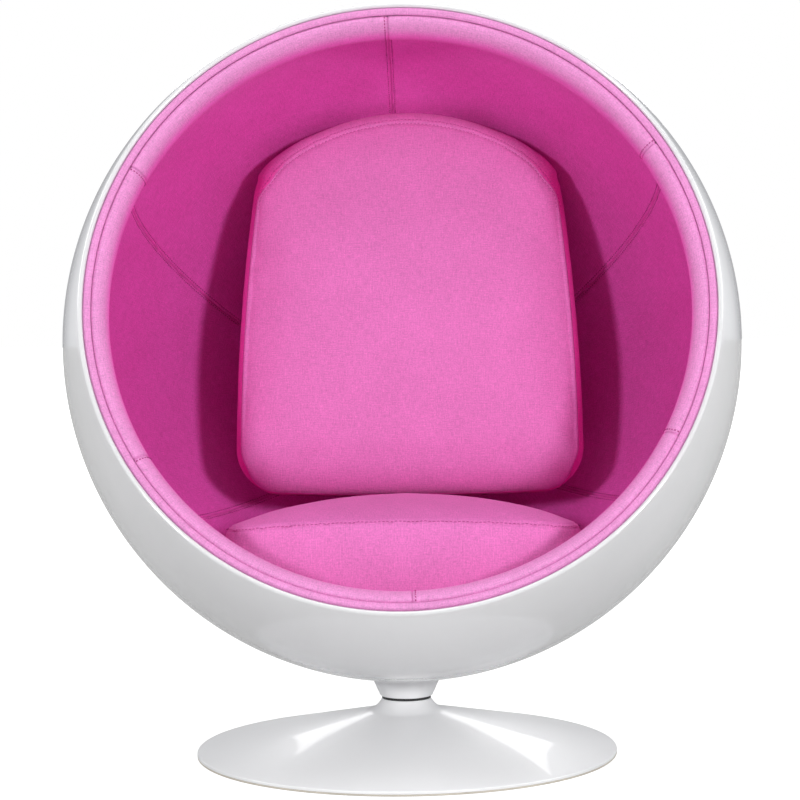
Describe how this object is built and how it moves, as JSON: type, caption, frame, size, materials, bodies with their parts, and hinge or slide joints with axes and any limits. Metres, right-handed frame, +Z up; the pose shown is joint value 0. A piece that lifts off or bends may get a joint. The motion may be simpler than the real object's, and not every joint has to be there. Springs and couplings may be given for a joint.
{
  "type": "ball chair",
  "caption": "Ball-shaped lounge chair: a white gloss sphere lined in pink wool with loose seat and back cushions, on a white trumpet swivel base.",
  "frame": {"origin": "on the swivel axis at floor level", "axes": "+Z up along the swivel axis, -Y the way the opening faces, +X to the right seen from the front"},
  "size_m": [1.0398, 0.8832, 1.1551],
  "materials": {
    "shell_gelcoat": "gloss",
    "base_paint": "gloss",
    "bare_steel": "satin",
    "black_nylon": "matte",
    "edge_plastic": "matte",
    "foam": "matte",
    "lining_wool": "matte",
    "rim_wool": "matte",
    "cushion_wool": "matte"
  },
  "bodies": {
    "base": {"floor_ring": "edge_plastic", "weight_plate": "bare_steel", "base_skin": "base_paint", "column": "bare_steel", "column_gussets": "bare_steel", "upper_bush": "black_nylon", "lower_bush": "black_nylon", "thrust_washer": "black_nylon"},
    "ball": {"spindle": "bare_steel", "stop_washer": "bare_steel", "circlip": "bare_steel", "hub": "base_paint", "ball_shell": "shell_gelcoat", "mount_plate": "bare_steel", "mount_bolts": "bare_steel", "mount_washers": "bare_steel", "lining_foam": "foam", "rim_welt": "rim_wool", "lining_panel_1": "lining_wool", "lining_panel_2": "lining_wool", "lining_panel_3": "lining_wool", "lining_panel_4": "lining_wool", "lining_panel_5": "lining_wool", "lining_panel_6": "lining_wool", "rim_roll_1": "rim_wool", "rim_roll_2": "rim_wool", "rim_roll_3": "rim_wool", "rim_roll_4": "rim_wool", "rim_roll_5": "rim_wool", "rim_roll_6": "rim_wool", "seat_cushion_foam": "foam", "seat_cushion_top_panel": "cushion_wool", "seat_cushion_bottom_panel": "cushion_wool", "seat_cushion_boxing": "cushion_wool", "seat_cushion_zip_boxing": "cushion_wool"},
    "back_cushion": {"back_cushion_foam": "foam", "back_cushion_front_panel": "cushion_wool", "back_cushion_rear_panel": "cushion_wool", "back_cushion_boxing": "cushion_wool", "back_cushion_zip_boxing": "cushion_wool"}
  },
  "joints": [
    {"name": "swivel", "type": "hinge", "parent": "base", "child": "ball", "pos_m": [0, 0, 0], "axis": [0, 0, 1], "continuous": true},
    {"name": "back_cushion_lift", "type": "slide", "parent": "ball", "child": "back_cushion", "axis": [0, -0.9703, 0.2419], "range_m": [0, 0.7]}
  ]
}
